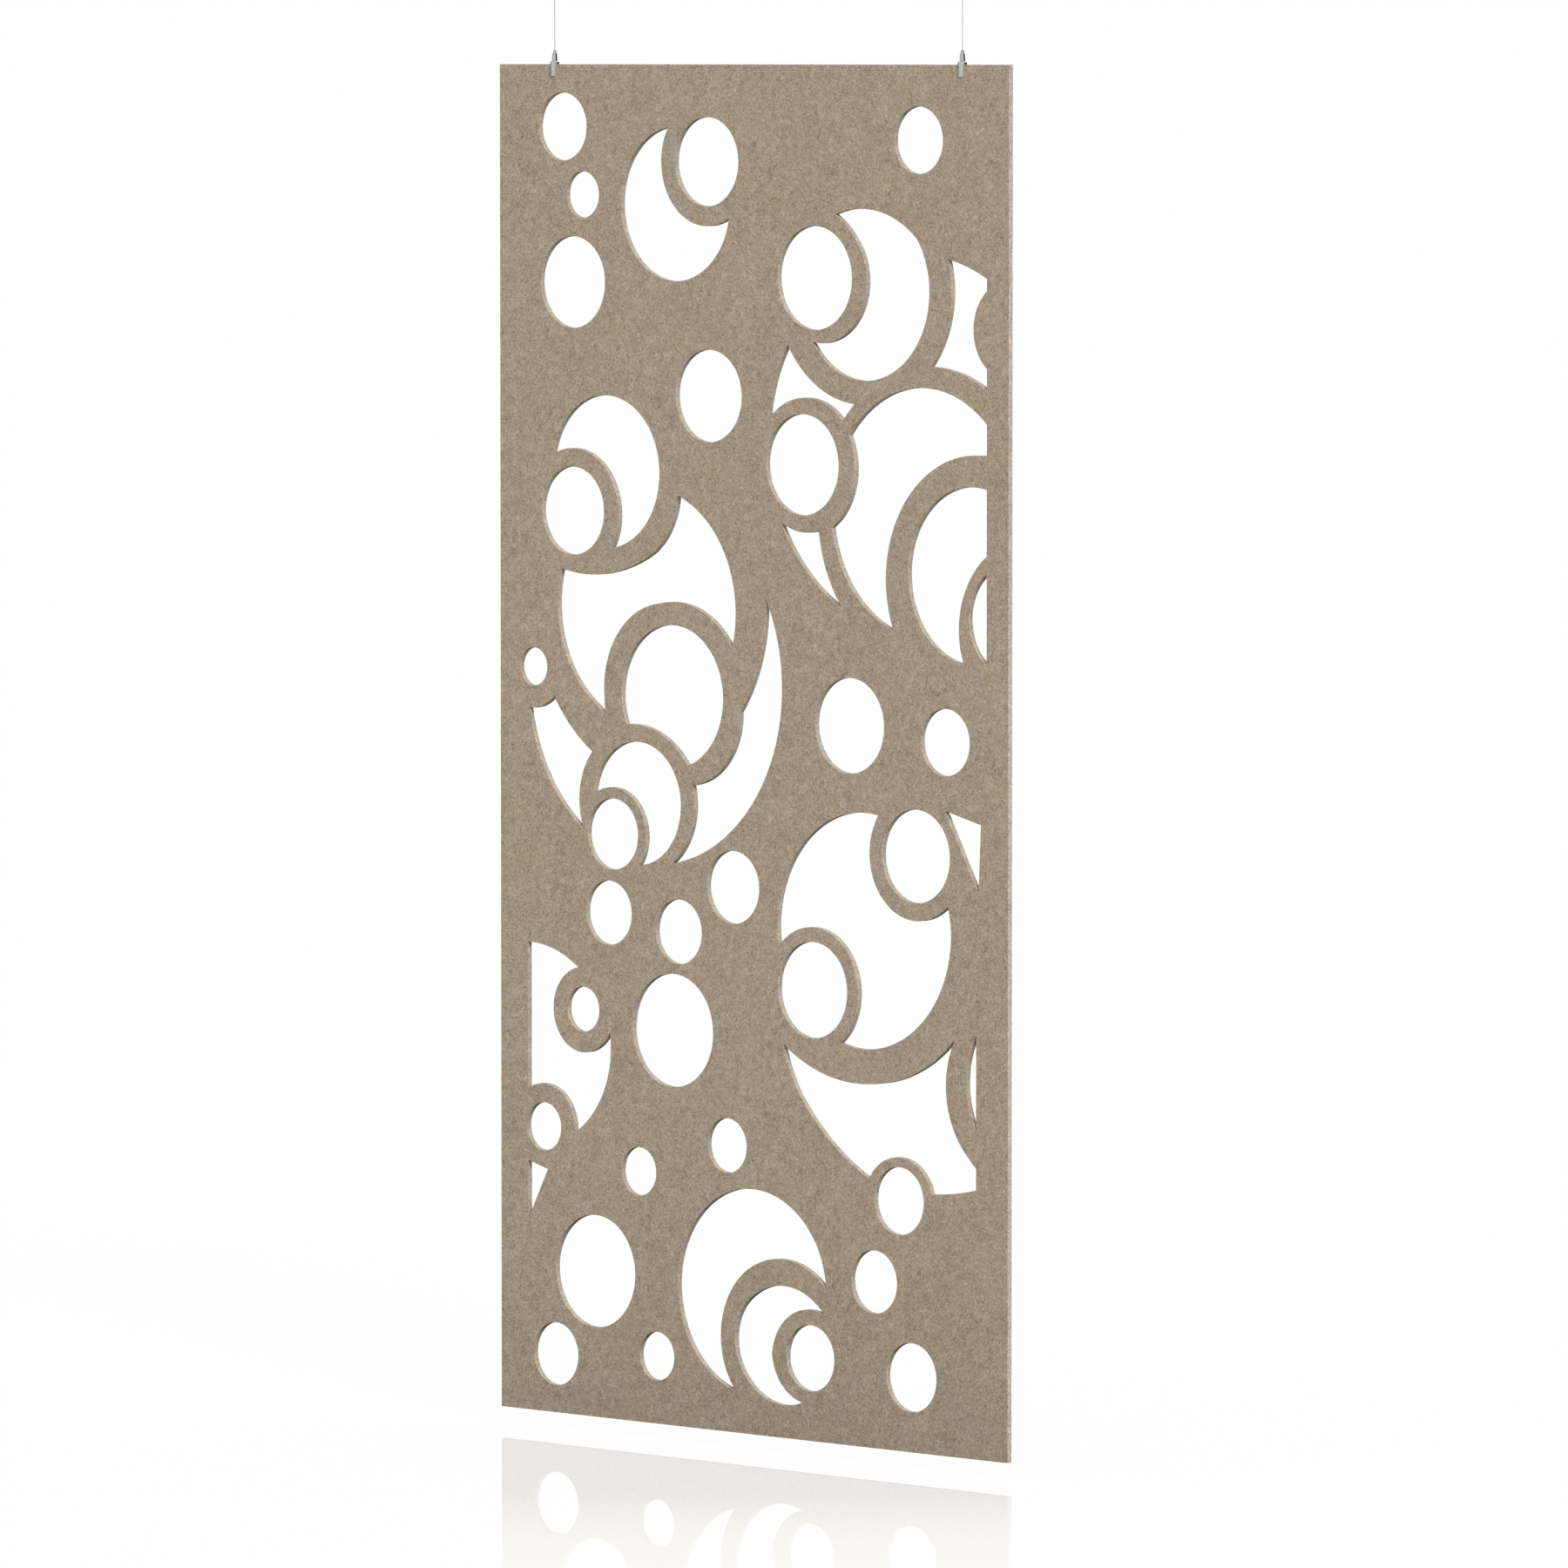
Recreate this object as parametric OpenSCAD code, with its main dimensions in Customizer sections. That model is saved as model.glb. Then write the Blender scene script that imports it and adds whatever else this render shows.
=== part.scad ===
// Hanging room divider panel.
// A cut-out felt board hangs on two steel wires. Each wire runs from a screwed ceiling fitting
// down into a self-locking gripper, which stands on a slotted clamp over the board's top edge.
// Millimetres, +Z up. The origin is on the ceiling, half way between the two ceiling screws.
// +X is to the right along the board, and the board's front faces -Y.

/* [Board] */
// Width of the felt board
panel_w = 1250; // [1150:10:1400]
// Height of the felt board
panel_h = 2400; // [2200:10:2600]
// Thickness of the felt board
panel_t = 10; // [8:0.5:14]
// Least width of uncut felt along each edge of the board
rim = 45; // [30:5:50]
// Distance from the ceiling down to the board's top edge
drop = 150; // [145:5:400]

/* [Wires] */
// Distance from the board's left edge to the left wire
left_inset = 135; // [100:5:160]
// Distance from the board's right edge to the right wire
right_inset = 115; // [100:5:160]
// Diameter of the stranded steel wire
wire_d = 1.5; // [1.2:0.1:1.6]

/* [Edge clamp] */
// Diameter of the round clamp
clamp_d = 16; // [15:0.5:20]
// Height of the solid head over the board's top edge
clamp_head = 5.3; // [5:0.1:8]
// Length of the two legs below the board's top edge
clamp_leg = 20.7; // [16:0.1:30]
// Bevel round the clamp's top
clamp_bevel = 1.2; // [0.5:0.1:1.5]
// Gap between the board and each leg
slot_gap = 0.2; // [0.1:0.05:0.4]
// Diameter of the stud that the gripper screws onto
stud_d = 6; // [5.6:0.1:6.2]
// Length of that stud
stud_h = 3; // [2.5:0.1:3.2]
// Diameter of the clamp screw
screw_d = 4; // [3:0.5:5]
// Depth of the clamp screw below the board's top edge
screw_drop = 12; // [9:0.5:14]
// How far the clamp screw stands out of the leg
screw_proud = 1.2; // [0.5:0.1:3]
// Width across the flats of the screw's hexagon socket
socket_af = 2; // [1.5:0.1:2]
// Depth of the screw's hexagon socket
socket_depth = 1.8; // [1:0.1:2]

/* [Gripper] */
// Height of the gripper barrel
barrel_h = 14.5; // [14.2:0.1:16]
// Diameter of the barrel at its foot
barrel_d = 9.6; // [9.2:0.1:12]
// Diameter of the barrel at its top
barrel_top_d = 8.2; // [7.8:0.1:9]
// Diameter of the release nozzle
nozzle_d = 5.4; // [5.2:0.1:5.6]
// How far the nozzle stands out of the barrel
nozzle_out = 5.3; // [4:0.1:7]
// Diameter of each grip ball
ball_d = 2.16; // [2.1:0.02:2.2]
// Slope of the barrel's inner cone, in radius for each millimetre of height
cone_slope = 0.1; // [0.08:0.01:0.12]
// Thickness of the spring's wire
spring_wire = 0.5; // [0.4:0.05:0.6]
// Turns of the spring
spring_turns = 4; // [3:1:4]

/* [Ceiling fitting] */
// Diameter of the ceiling cap and of the base's flange
cap_d = 24; // [22:1:40]
// Height of the whole ceiling fitting
cap_h = 26; // [25:1:30]
// Thickness of the base's flange
flange_t = 2.5; // [2:0.5:4]
// Diameter of the base's threaded spigot
spigot_d = 16; // [14:0.5:18]
// Length of that spigot
spigot_h = 9.5; // [8:0.5:10]
// Diameter of the hole for the ceiling screw
ceiling_hole_d = 4.4; // [4:0.1:5]
// Diameter of the pocket for the ceiling screw's head
head_pocket_d = 9; // [8:0.5:10]
// Diameter of the ball swaged onto the wire's top end
stop_d = 6; // [5:0.5:7]
// Diameter of the shank under that ball
shank_d = 2.6; // [2.4:0.1:2.8]
// Length of that shank below the ball
shank_h = 2.5; // [2:0.5:3]
// Largest swing of the board either way, in degrees
swing = 8; // [4:1:10]

/* [Hidden] */
eps = 0.01;
fit = 0.05;                                   // radial running clearance
thread_gap = 0.02;                            // radial gap left between simplified threads
right_x = (panel_w - left_inset - right_inset) / 2;
left_x = -right_x;
panel_x = (right_inset - left_inset) / 2;     // the board's middle
edge_z = -drop;                               // the board's top edge
head_z = edge_z + clamp_head;                 // top of the clamp's head, foot of the barrel
stud_z = head_z + stud_h;                     // top of the clamp's stud, foot of the spring
barrel_z = head_z + barrel_h;                 // top of the barrel
slot_w = panel_t + 2 * slot_gap;
felt_grey = [0.62, 0.56, 0.49];
chrome_grey = [0.80, 0.80, 0.81];
steel_grey = [0.62, 0.63, 0.65];

// Gripper, from the top down: a straight guide for the nozzle, then a cone that widens downwards.
guide_h = 2.8;
guide_r = nozzle_d / 2 + fit;
cone_z = barrel_z - guide_h;                  // narrow end of the cone
ball_z = cone_z - 2;                          // height of the balls' centres
ball_gap = 0.01;
ball_ring_r = wire_d / 2 + ball_d / 2 + ball_gap;
flange_top_z = cone_z - 3.6;                  // the nozzle's flange, which the spring pushes up
flange_h = 0.8;
flange_r = nozzle_d / 2 + 0.3;
spring_top_z = flange_top_z - flange_h;
chamber_z = spring_top_z - 0.5;               // foot of the cone
chamber_r = guide_r + cone_slope * (cone_z - chamber_z);
nozzle_bore_r = wire_d / 2 + 0.15;
spring_r = flange_r - spring_wire / 2 - 0.1;
wire_hole_r = wire_d / 2 + 0.25;              // hole in the stud for the wire's cut end
wire_hole_floor = 1;                          // metal left between that hole and the board
wire_foot_z = edge_z + wire_hole_floor + 0.5;

// Ceiling fitting. The ball on the wire turns in a round seat in the cap's floor.
pivot_z = -cap_h + 7;
seat_r = stop_d / 2 + fit;
throat_r = 1.9;
flare_r = shank_d / 2 + (cap_h + pivot_z) * tan(swing) + 1.2;
throat_z = pivot_z - sqrt(seat_r * seat_r - throat_r * throat_r);

// ---------------------------------------------------------------------------------- the cut-outs
// The pattern is drawn for a board of this width, and it is scaled as a whole for another one.
// Places are [x from the board's middle, distance below its top edge, radius].
art_w = 1250;
art_scale = panel_w / art_w;
far = 4000;                                   // more than the pattern's height
round_facets = 96;

// Bubbles that stand alone, and the inner circles of bubbles whose band cuts into a larger one
bubbles = [
    [-465, 110, 60], [410, 130, 58], [-105, 170, 78], [-415, 230, 41], [160, 370, 90],
    [-440, 385, 81], [-100, 580, 81], [130, 695, 88], [-440, 790, 78], [-540, 1070, 34],
    [245, 1145, 83], [475, 1165, 58], [-340, 1360, 63], [405, 1365, 81], [-40, 1440, 64],
    [-350, 1500, 57], [-175, 1525, 57], [155, 1610, 84], [-190, 1700, 100], [-415, 1675, 40],
    [-515, 1890, 43], [-55, 1895, 48], [-275, 1955, 43], [365, 1965, 59], [-385, 2140, 100],
    [305, 2110, 55], [-485, 2295, 56], [150, 2255, 58], [-230, 2280, 43], [395, 2270, 60]
];

// Large bubbles stop at these lines near the board's sides
left_stop = -556;
right_stop = 573;
low_right_stop = 549;

module disc(x, below, r) {
    translate([x, -below]) circle(r, $fn = round_facets);
}

// Everything left of x, right of x, above or below a line
module left_of(x) { translate([x - far, -far]) square([far, 2 * far]); }
module right_of(x) { translate([x, -far]) square([far, 2 * far]); }
module above(below) { translate([-far, -below]) square([2 * far, far]); }
module under(below) { translate([-far, -below - far]) square([2 * far, far]); }

// Two crescents, each left where a small bubble's band covers a large one
module upper_left_crescent() {
    difference() {
        disc(-183, 245, 135);
        disc(-105, 170, 113);
    }
}

module middle_left_crescent() {
    difference() {
        disc(-358, 719, 135);
        disc(-440, 794, 115);
    }
}

// The big bubbles at the upper right, from the top down
module upper_right_crescent() {
    difference() {
        intersection() {
            disc(273, 448, 199);
            disc(281, 391, 155);
        }
        disc(177, 374, 109);
        intersection() {
            disc(135, 395, 155);
            above(345);
        }
    }
}

module upper_right_corner() {
    difference() {
        intersection() {
            disc(405, 695, 369);
            left_of(right_stop);
            right_of(435);
        }
        disc(295, 390, 194);
        disc(435, 790, 271);
        disc(627, 454, 86);
        under(700);
    }
}

module wedge_over_bubble() {
    difference() {
        disc(350, 655, 306);
        disc(275, 375, 213);
        disc(138, 702, 124);
        disc(433, 780, 262);
        right_of(260);
        under(660);
    }
}

module large_right_bubble() {
    difference() {
        intersection() {
            disc(420, 781, 225);
            disc(420, 766, 221);
            left_of(right_stop);
        }
        disc(135, 699, 123);
        disc(551, 888, 219);
    }
}

module inner_right_bubble() {
    difference() {
        intersection() {
            disc(539, 877, 153);
            left_of(right_stop);
        }
        disc(665, 970, 158);
    }
}

module right_edge_bubble() {
    intersection() {
        disc(624, 951, 93);
        left_of(right_stop);
    }
}

module sliver_under_bubble() {
    difference() {
        disc(375, 640, 336);
        disc(430, 777, 262);
        disc(140, 687, 126);
        right_of(225);
        above(780);
    }
}

// The big bubbles at the middle left, from the top down
module large_left_bubble() {
    difference() {
        union() {
            disc(-270, 955, 208);
            disc(-250, 960, 216);
        }
        disc(-315, 745, 138);
        intersection() {
            disc(-395, 590, 312);
            left_of(-255);
        }
        disc(-208, 1101, 154);
        disc(-187, 1118, 174);
    }
}

module inner_left_bubble() {
    difference() {
        disc(-191, 1111, 126);
        disc(-290, 1335, 172);
    }
}

module long_right_crescent() {
    difference() {
        disc(-242, 1087, 322);
        disc(-270, 945, 310);
        disc(-153, 1136, 130);
        disc(-265, 1300, 129);
        left_of(-300);
    }
}

module long_left_crescent() {
    difference() {
        disc(-240, 1090, 316);
        disc(-298, 1301, 127);
        disc(-220, 945, 321);
        disc(-545, 1060, 84);
        right_of(-300);
    }
}

module low_left_crescent() {
    difference() {
        disc(-279, 1303, 109);
        disc(-342, 1362, 85);
    }
}

// The bubbles at the lower right
module low_right_bubble() {
    difference() {
        intersection() {
            disc(279, 1505, 210);
            disc(279, 1496, 210);
        }
        disc(155, 1611, 111);
        disc(406, 1364, 113);
    }
}

module low_right_wedge() {
    polygon([[474, -1283], [560, -1304], [554, -1423]]);
}

module low_right_gap() {
    difference() {
        intersection() {
            disc(485, 1517, 456);
            disc(415, 1335, 614);
            left_of(low_right_stop);
            union() {
                disc(337, 1643, 262);
                under(1813);
            }
        }
        disc(270, 1440, 327);
        disc(285, 1465, 301);
        disc(364, 1971, 82);
        disc(642, 1758, 165);
        above(1650);
        intersection() {
            disc(700, 1725, 229);
            under(1790);
        }
    }
}

module low_right_sliver() {
    intersection() {
        disc(685, 1750, 159);
        left_of(low_right_stop);
    }
}

// The bubbles at the lower left and at the foot
module low_left_bubble() {
    difference() {
        intersection() {
            disc(-555, 1785, 223);
            right_of(left_stop);
            union() {
                disc(-525, 1740, 179);
                above(1650);
            }
        }
        disc(-516, 1892, 79);
        disc(-415, 1676, 76);
    }
}

module low_left_wedge() {
    polygon([[left_stop, -1953], [-506, -1966], [left_stop, -2058]]);
}

module foot_bubble() {
    difference() {
        intersection() {
            disc(7, 2153, 185);
            disc(6, 2147, 183);
        }
        disc(72, 2231, 143);
        intersection() {
            disc(79, 2240, 154);
            right_of(-16);
        }
    }
}

module foot_crescent() {
    difference() {
        intersection() {
            disc(84, 2268, 135);
            disc(86, 2216, 126);
            union() {
                disc(56, 2234, 91);
                right_of(0);
                under(2281);
            }
        }
        intersection() {
            disc(147, 2244, 92);
            disc(148, 2263, 93);
        }
    }
}

module cut_outs() {
    for (b = bubbles) disc(b[0], b[1], b[2]);
    upper_left_crescent();
    middle_left_crescent();
    upper_right_crescent();
    upper_right_corner();
    wedge_over_bubble();
    large_right_bubble();
    inner_right_bubble();
    right_edge_bubble();
    sliver_under_bubble();
    large_left_bubble();
    inner_left_bubble();
    long_right_crescent();
    long_left_crescent();
    low_left_crescent();
    low_right_bubble();
    low_right_wedge();
    low_right_gap();
    low_right_sliver();
    low_left_bubble();
    low_left_wedge();
    foot_bubble();
    foot_crescent();
}

// --------------------------------------------------------------------------------------- pieces
module panel() {
    color(felt_grey)
    translate([panel_x, 0, edge_z])
    rotate([90, 0, 0])
    linear_extrude(panel_t, center = true)
    difference() {
        translate([-panel_w / 2, -panel_h]) square([panel_w, panel_h]);
        intersection() {
            scale(art_scale) cut_outs();
            translate([rim - panel_w / 2, rim - panel_h])
                square([panel_w - 2 * rim, panel_h - 2 * rim]);
        }
    }
}

// A round bar, slotted from below for the board, with a stud on top that the barrel screws onto
module panel_clamp(x) {
    r = clamp_d / 2;
    color(chrome_grey)
    translate([x, 0, 0])
    difference() {
        rotate_extrude($fn = 64)
            polygon([
                [0, edge_z - clamp_leg], [r, edge_z - clamp_leg], [r, head_z - clamp_bevel],
                [r - clamp_bevel, head_z], [stud_d / 2, head_z], [stud_d / 2, stud_z], [0, stud_z]
            ]);
        translate([-clamp_d, -slot_w / 2, edge_z - clamp_leg - 1])
            cube([2 * clamp_d, slot_w, clamp_leg + 1]);
        translate([0, 0, edge_z + wire_hole_floor]) cylinder(h = drop, r = wire_hole_r, $fn = 32);
        translate([0, 0, edge_z - screw_drop]) rotate([90, 0, 0])
            cylinder(h = clamp_d, r = screw_d / 2 + thread_gap, $fn = 32);
    }
}

// A headless screw through the front leg. Its flat tip presses on the felt.
module clamp_screw(x) {
    length = clamp_d / 2 + screw_proud - panel_t / 2;
    color(steel_grey)
    translate([x, -panel_t / 2, edge_z - screw_drop])
    rotate([90, 0, 0])
    difference() {
        cylinder(h = length, r = screw_d / 2, $fn = 32);
        translate([0, 0, length - socket_depth])
            cylinder(h = socket_depth + 1, r = socket_af / 2 / cos(30), $fn = 6);
    }
}

// The gripper's outer sleeve: a thread at the foot, a spring chamber, the cone and the guide
module gripper_barrel(x) {
    thread_r = stud_d / 2 + thread_gap;
    lip = 0.5;
    color(chrome_grey)
    translate([x, 0, 0])
    rotate_extrude($fn = 64)
        polygon([
            [thread_r, head_z], [barrel_d / 2, head_z], [barrel_d / 2, head_z + barrel_h / 3],
            [barrel_top_d / 2, barrel_z - lip], [barrel_top_d / 2 - lip, barrel_z],
            [guide_r, barrel_z], [guide_r, cone_z], [chamber_r, chamber_z],
            [chamber_r, stud_z + 0.2], [thread_r, stud_z + 0.2]
        ]);
}

// The release nozzle and its ball cage are one turned tube with three windows for the balls
module release_nozzle(x) {
    r = nozzle_d / 2;
    top_z = barrel_z + nozzle_out;
    lip = 0.4;
    color(chrome_grey)
    translate([x, 0, 0])
    difference() {
        rotate_extrude($fn = 48)
            polygon([
                [nozzle_bore_r, spring_top_z], [flange_r, spring_top_z], [flange_r, flange_top_z],
                [r, flange_top_z], [r, top_z - lip], [r - lip, top_z],
                [nozzle_bore_r + lip, top_z], [nozzle_bore_r, top_z - lip]
            ]);
        for (a = [30, 150, 270])
            rotate([0, 0, a]) translate([0, 0, ball_z]) rotate([0, 90, 0])
                cylinder(h = nozzle_d, r = ball_d / 2 + 0.04, $fn = 24);
    }
}

// Three steel balls that wedge between the wire and the cone
module grip_balls(x) {
    color(steel_grey)
    for (a = [30, 150, 270])
        translate([x, 0, 0]) rotate([0, 0, a]) translate([ball_ring_r, 0, ball_z])
            sphere(d = ball_d, $fn = 24);
}

// A ring of points round a point of a path. The spring's path turns round the Z axis.
function helix_point(t) = [
    spring_r * cos(360 * spring_turns * t),
    spring_r * sin(360 * spring_turns * t),
    stud_z + spring_wire / 2 + fit
        + (spring_top_z - stud_z - spring_wire - 2 * fit) * t
];
function helix_ring(t, sides) = [
    for (k = [0 : sides - 1])
        let (turn = 360 * spring_turns * t, a = 360 * k / sides)
        helix_point(t) + spring_wire / 2 * [cos(a) * cos(turn), cos(a) * sin(turn), sin(a)]
];

// One tube through rings of points: its two ends and the strips between neighbouring rings
module tube_through(rings) {
    sides = len(rings[0]);
    last = len(rings) - 1;
    polyhedron(
        points = [for (ring = rings) each ring],
        faces = concat(
            [[for (k = [0 : sides - 1]) k]],
            [[for (k = [0 : sides - 1]) last * sides + sides - 1 - k]],
            [for (i = [0 : last - 1], k = [0 : sides - 1])
                let (a = i * sides + k, b = i * sides + (k + 1) % sides)
                each [[a, a + sides, b], [b, a + sides, b + sides]]]
        )
    );
}

// The spring under the nozzle's flange
module gripper_spring(x) {
    sides = 6;
    steps = 16 * spring_turns;
    color(steel_grey)
    translate([x, 0, 0])
        tube_through([for (i = [0 : steps]) helix_ring(i / steps, sides)]);
}

// The stranded wire, straight because the board's weight keeps it taut
module suspension_wire(x) {
    sides = 8;
    rings = 36;
    color(steel_grey)
    translate([x, 0, 0])
        tube_through([
            for (i = [0 : rings])
                [for (k = [0 : sides - 1]) [
                    wire_d / 2 * cos(-360 * k / sides), wire_d / 2 * sin(-360 * k / sides),
                    pivot_z + (wire_foot_z - pivot_z) * i / rings
                ]]
        ]);
}

// The ball and shank swaged onto the wire's top end
module wire_stop(x) {
    color(steel_grey)
    translate([x, 0, pivot_z])
    difference() {
        union() {
            sphere(d = stop_d, $fn = 48);
            translate([0, 0, -stop_d / 2 - shank_h])
                cylinder(h = stop_d / 2 + shank_h, d = shank_d, $fn = 32);
        }
        translate([0, 0, -stop_d - shank_h])
            cylinder(h = stop_d + shank_h, r = wire_d / 2, $fn = 32);
    }
}

// The cap screws up over the base. Its floor holds the ball and flares so that the wire can swing.
module ceiling_cap(x) {
    r = cap_d / 2;
    lip = 1;
    spigot_z = -flange_t - spigot_h;
    color(chrome_grey)
    translate([x, 0, 0])
    difference() {
        rotate_extrude($fn = 64)
            polygon([
                [0, -cap_h], [r - lip, -cap_h], [r, -cap_h + lip], [r, -flange_t], [0, -flange_t]
            ]);
        translate([0, 0, spigot_z]) cylinder(h = cap_h, r = spigot_d / 2 + thread_gap, $fn = 64);
        translate([0, 0, pivot_z]) cylinder(h = spigot_z - pivot_z + 1, r = seat_r, $fn = 48);
        translate([0, 0, pivot_z]) sphere(r = seat_r, $fn = 48);
        translate([0, 0, -cap_h])
            cylinder(h = throat_z + cap_h + eps, r1 = flare_r, r2 = throat_r, $fn = 48);
        translate([0, 0, -cap_h - 1]) cylinder(h = 1 + eps, r = flare_r, $fn = 48);
    }
}

// The base is screwed to the ceiling through its middle
module ceiling_base(x) {
    spigot_z = -flange_t - spigot_h;
    web_z = -flange_t - 2;
    sink_z = web_z + (head_pocket_d - ceiling_hole_d) / 2;
    color(chrome_grey)
    translate([x, 0, 0])
    rotate_extrude($fn = 64)
        polygon([
            [ceiling_hole_d / 2, 0], [cap_d / 2, 0], [cap_d / 2, -flange_t],
            [spigot_d / 2, -flange_t], [spigot_d / 2, spigot_z], [head_pocket_d / 2, spigot_z],
            [head_pocket_d / 2, web_z], [ceiling_hole_d / 2, sink_z]
        ]);
}

panel();
panel_clamp(left_x);  // panel_clamp_left
clamp_screw(left_x);  // clamp_screw_left
gripper_barrel(left_x);  // gripper_barrel_left
release_nozzle(left_x);  // release_nozzle_left
grip_balls(left_x);  // grip_balls_left
gripper_spring(left_x);  // gripper_spring_left
suspension_wire(left_x);  // suspension_wire_left
wire_stop(left_x);  // wire_stop_left
ceiling_cap(left_x);  // ceiling_cap_left
ceiling_base(left_x);  // ceiling_base_left
panel_clamp(right_x);  // panel_clamp_right
clamp_screw(right_x);  // clamp_screw_right
gripper_barrel(right_x);  // gripper_barrel_right
release_nozzle(right_x);  // release_nozzle_right
grip_balls(right_x);  // grip_balls_right
gripper_spring(right_x);  // gripper_spring_right
suspension_wire(right_x);  // suspension_wire_right
wire_stop(right_x);  // wire_stop_right
ceiling_cap(right_x);  // ceiling_cap_right
ceiling_base(right_x);  // ceiling_base_right
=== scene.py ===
import math

import bpy
import numpy as np
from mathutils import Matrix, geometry


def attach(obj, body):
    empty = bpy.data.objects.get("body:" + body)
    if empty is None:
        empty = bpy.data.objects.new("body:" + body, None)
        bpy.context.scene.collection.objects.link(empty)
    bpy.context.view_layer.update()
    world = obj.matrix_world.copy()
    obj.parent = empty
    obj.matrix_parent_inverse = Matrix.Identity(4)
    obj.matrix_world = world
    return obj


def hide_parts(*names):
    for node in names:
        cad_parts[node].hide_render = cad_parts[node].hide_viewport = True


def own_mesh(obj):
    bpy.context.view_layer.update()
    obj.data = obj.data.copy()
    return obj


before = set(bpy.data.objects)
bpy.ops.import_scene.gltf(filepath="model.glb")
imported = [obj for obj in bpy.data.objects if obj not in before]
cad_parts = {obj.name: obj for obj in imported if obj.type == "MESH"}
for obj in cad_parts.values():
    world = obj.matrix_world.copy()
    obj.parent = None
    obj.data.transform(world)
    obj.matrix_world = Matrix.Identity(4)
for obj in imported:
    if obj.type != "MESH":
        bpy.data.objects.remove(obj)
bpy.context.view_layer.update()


# ------------------------------------------------------------------------------------ the camera
# The photograph is taken from the right of the board's front, from far away with a long lens, and
# tilted down by three and a half degrees.
def placed(name, data):
    """A new object in the scene that holds a mesh, a light or a camera."""
    obj = bpy.data.objects.new(name, data)
    bpy.context.scene.collection.objects.link(obj)
    return obj


camera = placed("camera", bpy.data.cameras.new("camera"))
camera.data.lens = 276.8
camera.data.sensor_width = 36
camera.data.clip_end = 100
camera.location = (14.8143, -14.9561, -0.1248)
camera.rotation_euler = (math.radians(86.5157), 0, math.radians(44.5905))
bpy.context.scene.camera = camera

# ------------------------------------------------------------------------- the suspension wires
# Each wire is a rope of six steel strands laid round a core, 1.5 mm thick. It runs from the stop
# in the ceiling fitting down through the gripper, and it is straight under the load.
MM = 0.001
hanger_x = {"left": -500, "right": 500}
rope_top, rope_foot, rope_exit = -19, -148.5, -124.9
strand_count, strand_r, strand_ring, lay_length = 6, 0.25, 0.5, 9
strand_sides, rope_rings, path_points = 8, 260, 36


def turns(sides, first=0):
    """The angles of a number of points spaced evenly once round."""
    return (np.arange(sides) + first) * math.tau / sides


def grid_faces(rows, columns, wrap_rows=False):
    """Four-cornered faces between neighbouring rows and columns of a grid of points, whose last
    column is joined to its first. Where the rows wrap, its last row is joined to its first too."""
    r = np.arange(rows if wrap_rows else rows - 1)[:, None]
    c = np.arange(columns)[None, :]
    up, on = (r + 1) % rows, (c + 1) % columns
    corners = np.broadcast_arrays(r * columns + c, r * columns + on, up * columns + on, up * columns + c)
    return np.stack(corners, axis=-1).reshape(-1, 4).tolist()


def ring_faces(points):
    """The faces of a closed ring, whose rows run round its section."""
    return grid_faces(*points.shape[:2], wrap_rows=True)


def rod_faces(points):
    """The faces between the rows of a rod or tube, and one face over each of its ends."""
    rows, columns = points.shape[:2]
    ends = [list(range(columns))[::-1], list(range((rows - 1) * columns, rows * columns))]
    return grid_faces(rows, columns) + ends


def new_mesh(name, points, faces):
    """A mesh from points in millimetres."""
    mesh = bpy.data.meshes.new(name)
    mesh.from_pydata((np.asarray(points, float).reshape(-1, 3) * MM).tolist(), [], faces)
    return mesh


def smooth(mesh, sharp):
    """Shades a mesh smooth, but for its edges that are sharper than an angle in degrees."""
    mesh.shade_smooth()
    mesh.set_sharp_from_angle(angle=math.radians(sharp))


def new_piece(name, points, faces, material, body, sharp=40):
    """A piece of one material, which rides on a body and takes its finish from that material."""
    piece = placed(name, new_mesh(name, points, faces))
    smooth(piece.data, sharp)
    piece.data.materials.append(material)
    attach(piece, body)
    return piece


def adder(tree):
    """A function that adds a node to a tree, sets its own settings and its inputs, and links an
    input where its value is another node's output."""
    def add(kind, inputs=None, **settings):
        node = tree.nodes.new(kind)
        for key, value in settings.items():
            setattr(node, key, value)
        for key, value in (inputs or {}).items():
            if isinstance(value, bpy.types.NodeSocket):
                tree.links.new(value, node.inputs[key])
            else:
                node.inputs[key].default_value = value
        return node
    return add


def maths(add, operation, *values):
    """What a calculation gives for numbers or other nodes' outputs."""
    return add("ShaderNodeMath", dict(enumerate(values)), operation=operation).outputs[0]


def vector_maths(add, operation, *values, output="Vector"):
    """What a calculation gives for vectors or other nodes' vectors."""
    return add("ShaderNodeVectorMath", dict(enumerate(values)), operation=operation).outputs[output]


def mixed(add, factor, first, second, blend="MIX"):
    """Two colours mixed by a factor, or the second one blended onto the first in another way."""
    inputs = {"Factor": factor, "A": first, "B": second}
    return add("ShaderNodeMix", inputs, data_type="RGBA", blend_type=blend).outputs["Result"]


def new_group(name, inputs, outputs):
    """A shader node group with named sockets, and the function that adds nodes to it."""
    group = bpy.data.node_groups.new(name, "ShaderNodeTree")
    for label, kind, value in inputs:
        socket = group.interface.new_socket(label, in_out="INPUT", socket_type="NodeSocket" + kind)
        if value is not None:
            socket.default_value = value
    for label, kind in outputs:
        group.interface.new_socket(label, in_out="OUTPUT", socket_type="NodeSocket" + kind)
    add = adder(group)
    return group, add, add("NodeGroupInput"), add("NodeGroupOutput")


def new_material(name, **settings):
    """A material with a Principled shader, whose plain values are set on the shader's own sockets."""
    material = bpy.data.materials.new(name)
    material.use_nodes = True
    shader = material.node_tree.nodes["Principled BSDF"]
    for key, value in settings.items():
        shader.inputs[key.replace("_", " ")].default_value = value
    return material, material.node_tree, shader, adder(material.node_tree)


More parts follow.
